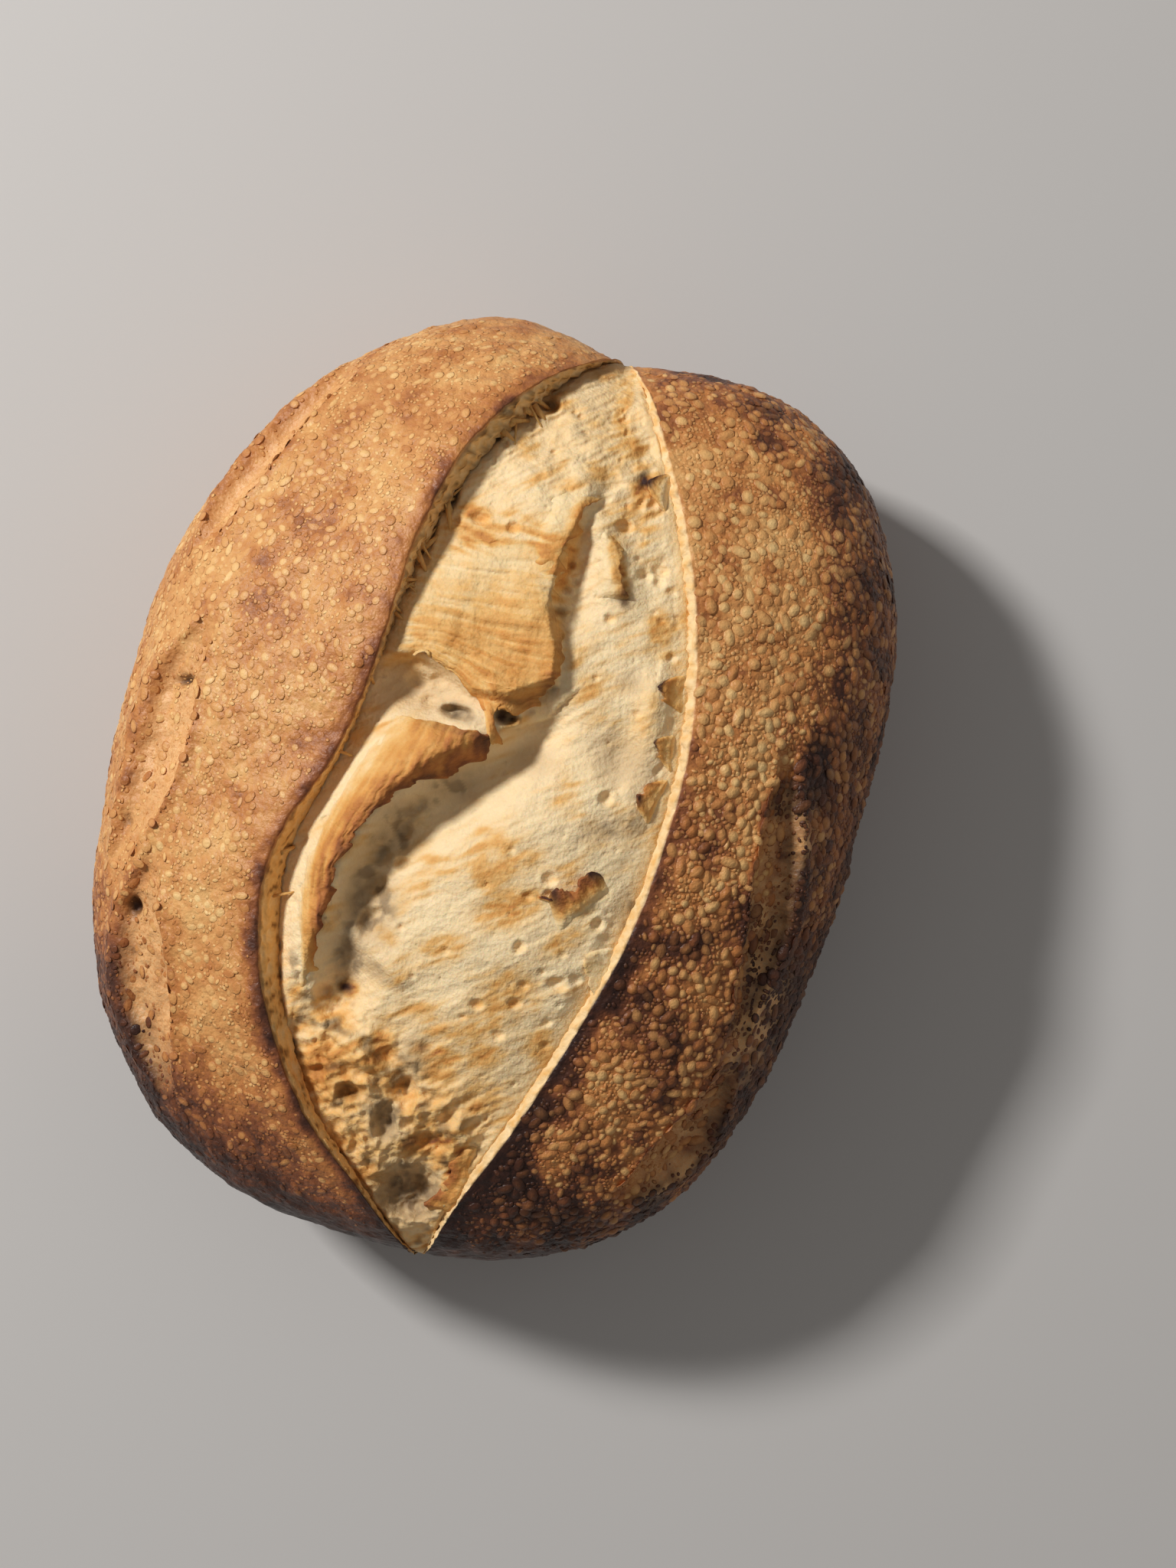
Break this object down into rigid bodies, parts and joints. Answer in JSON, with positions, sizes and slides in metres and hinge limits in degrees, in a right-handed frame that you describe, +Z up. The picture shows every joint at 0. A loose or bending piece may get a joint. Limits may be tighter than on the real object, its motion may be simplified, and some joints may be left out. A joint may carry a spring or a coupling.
{
  "type": "sourdough loaf",
  "caption": "Broad oval hearth-baked loaf on a flat base, its crust split from end to end by a cut that burst open to torn crumb under a raised ear.",
  "frame": {"origin": "centre of the footprint at the flat base", "axes": "+Z up through the crown, +Y along the loaf towards the end with the notch, +X across it away from the ear"},
  "size_m": [0.1902, 0.2372, 0.1013],
  "materials": {
    "crust": "baked crust, matt to softly satin, mottled brown"
  },
  "bodies": {
    "root": {"loaf": "crust"}
  },
  "joints": []
}
